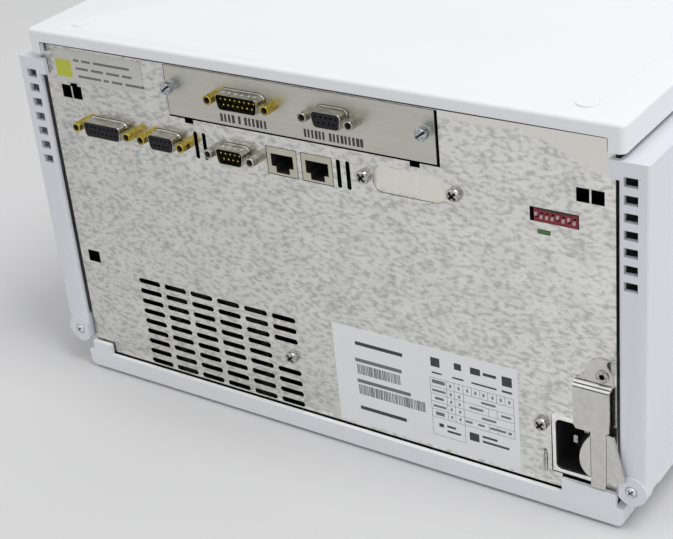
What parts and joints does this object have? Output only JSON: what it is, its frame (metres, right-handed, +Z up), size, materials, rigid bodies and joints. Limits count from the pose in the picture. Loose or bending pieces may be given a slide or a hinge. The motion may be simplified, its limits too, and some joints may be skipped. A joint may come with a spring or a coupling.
{
  "type": "liquid chromatography autosampler module",
  "caption": "Autosampler module of a liquid chromatography stack: moulded covers, polished rear panel with ports, vents, mains inlet and security lever, and sampling mechanics inside.",
  "frame": {"origin": "centre of the footprint, on the plane where the feet rest", "axes": "+Z up; +Y out of the rear panel; +X to the right side for a person in front of the module, who looks along +Y"},
  "size_m": [0.345, 0.435, 0.2],
  "materials": {
    "white_cover": "fine satin moulding",
    "side_cover": "fine satin moulding",
    "rubber": "matt",
    "polished_steel": "polished stainless sheet",
    "satin_steel": "satin sheet",
    "chassis_steel": "plated sheet",
    "bright_plate": "nickel plate",
    "gold_plate": "yellow zinc or gold plate",
    "black_plastic": "moulded",
    "cream_plastic": "moulded",
    "red_plastic": "moulded",
    "lever_white": "moulded",
    "green_lens": "clear tinted",
    "label_film": "printed film",
    "clear_film": "thin clear film",
    "circuit_board": "solder mask",
    "foam": "bead foam",
    "tray_plastic": "moulded",
    "rack_plastic": "moulded",
    "vial_glass": "clear glass",
    "machined_metal": "machined"
  },
  "bodies": {
    "case": {"top_cover": "white_cover", "left_side_panel": "side_cover", "right_side_panel": "side_cover", "base_tray": "side_cover", "feet": "rubber", "front_cover": "white_cover", "status_lamp": "green_lens", "rear_panel": "polished_steel", "inner_chassis": "chassis_steel", "slot_plate": "satin_steel", "blank_plate": "polished_steel", "captive_screws": "bright_plate", "pan_head_screws": "bright_plate", "connector_shells": "bright_plate", "connector_inserts": "black_plastic", "connector_pins": "gold_plate", "gold_jackscrews": "gold_plate", "steel_jackscrews": "bright_plate", "jack_housings": "cream_plastic", "jack_contacts": "gold_plate", "switch_block": "red_plastic", "lamp_window": "green_lens", "inlet_body": "black_plastic", "inlet_frame": "bright_plate", "inlet_prongs": "bright_plate", "lever_rivet": "bright_plate", "rating_label": "label_film", "notice_sticker": "clear_film", "fan_frame": "black_plastic", "power_supply": "chassis_steel", "main_board": "circuit_board", "slot_board": "circuit_board", "foam_bed": "foam", "leak_tray": "tray_plastic", "vial_tray": "rack_plastic", "vials": "vial_glass", "transport_frame": "machined_metal", "transport_rails": "bright_plate", "sampling_unit": "machined_metal", "injection_valve": "machined_metal"},
    "front_door": {"front_door": "white_cover"},
    "power_button": {"power_button": "cream_plastic"},
    "security_lever": {"security_lever": "polished_steel"},
    "fan_rotor": {"fan_rotor": "black_plastic"},
    "carriage": {"carriage": "black_plastic"},
    "lift_arm": {"lift_arm": "machined_metal"},
    "left_finger": {"left_finger": "bright_plate"},
    "right_finger": {"right_finger": "bright_plate"},
    "needle_arm": {"needle_arm": "machined_metal", "needle": "bright_plate"},
    "metering_plunger": {"metering_plunger": "bright_plate"},
    "valve_rotor": {"valve_rotor": "black_plastic"},
    "switch_lever_1": {"switch_lever_1": "lever_white"},
    "switch_lever_2": {"switch_lever_2": "lever_white"},
    "switch_lever_3": {"switch_lever_3": "lever_white"},
    "switch_lever_4": {"switch_lever_4": "lever_white"},
    "switch_lever_5": {"switch_lever_5": "lever_white"},
    "switch_lever_6": {"switch_lever_6": "lever_white"},
    "switch_lever_7": {"switch_lever_7": "lever_white"},
    "switch_lever_8": {"switch_lever_8": "lever_white"}
  },
  "joints": [
    {"name": "front_door_hinge", "type": "hinge", "parent": "case", "child": "front_door", "pos_m": [0.1605, -0.2149, 0.107], "axis": [0, 0, 1], "range_deg": [0, 110]},
    {"name": "power_button_push", "type": "slide", "parent": "case", "child": "power_button", "axis": [0, 1, 0], "range_m": [0, 0.003], "stiffness_N_per_m": 400},
    {"name": "security_lever_swing", "type": "hinge", "parent": "case", "child": "security_lever", "pos_m": [-0.1504, 0.2105, 0.0785], "axis": [0, -1, 0], "range_deg": [0, 21]},
    {"name": "fan_spin", "type": "hinge", "parent": "case", "child": "fan_rotor", "pos_m": [0.0663, 0.197, 0.0355], "axis": [0, 1, 0], "continuous": true},
    {"name": "carriage_travel", "type": "slide", "parent": "case", "child": "carriage", "axis": [1, 0, 0], "range_m": [-0.088, 0.11]},
    {"name": "lift_travel", "type": "slide", "parent": "carriage", "child": "lift_arm", "axis": [0, 0, 1], "range_m": [-0.035, 0]},
    {"name": "right_finger_grip", "type": "slide", "parent": "lift_arm", "child": "right_finger", "axis": [-1, 0, 0], "range_m": [0, 0.0012]},
    {"name": "left_finger_grip", "type": "slide", "parent": "lift_arm", "child": "left_finger", "axis": [1, 0, 0], "range_m": [0, 0.0012]},
    {"name": "needle_travel", "type": "slide", "parent": "case", "child": "needle_arm", "axis": [0, 0, -1], "range_m": [0, 0.033]},
    {"name": "plunger_travel", "type": "slide", "parent": "case", "child": "metering_plunger", "axis": [0, 1, 0], "range_m": [0, 0.015]},
    {"name": "valve_turn", "type": "hinge", "parent": "case", "child": "valve_rotor", "pos_m": [-0.0395, -0.1417, 0.0452], "axis": [1, 0, 0], "range_deg": [0, 60]},
    {"name": "switch_1_slide", "type": "slide", "parent": "case", "child": "switch_lever_1", "axis": [0, 0, 1], "range_m": [-0.0012, 0]},
    {"name": "switch_2_slide", "type": "slide", "parent": "case", "child": "switch_lever_2", "axis": [0, 0, 1], "range_m": [0, 0.0012]},
    {"name": "switch_3_slide", "type": "slide", "parent": "case", "child": "switch_lever_3", "axis": [0, 0, 1], "range_m": [0, 0.0012]},
    {"name": "switch_4_slide", "type": "slide", "parent": "case", "child": "switch_lever_4", "axis": [0, 0, 1], "range_m": [0, 0.0012]},
    {"name": "switch_5_slide", "type": "slide", "parent": "case", "child": "switch_lever_5", "axis": [0, 0, 1], "range_m": [-0.0012, 0]},
    {"name": "switch_6_slide", "type": "slide", "parent": "case", "child": "switch_lever_6", "axis": [0, 0, 1], "range_m": [0, 0.0012]},
    {"name": "switch_7_slide", "type": "slide", "parent": "case", "child": "switch_lever_7", "axis": [0, 0, 1], "range_m": [-0.0012, 0]},
    {"name": "switch_8_slide", "type": "slide", "parent": "case", "child": "switch_lever_8", "axis": [0, 0, 1], "range_m": [0, 0.0012]}
  ],
  "couplings": [
    {"joint": "left_finger_grip", "follows": "right_finger_grip", "ratio": 1}
  ]
}
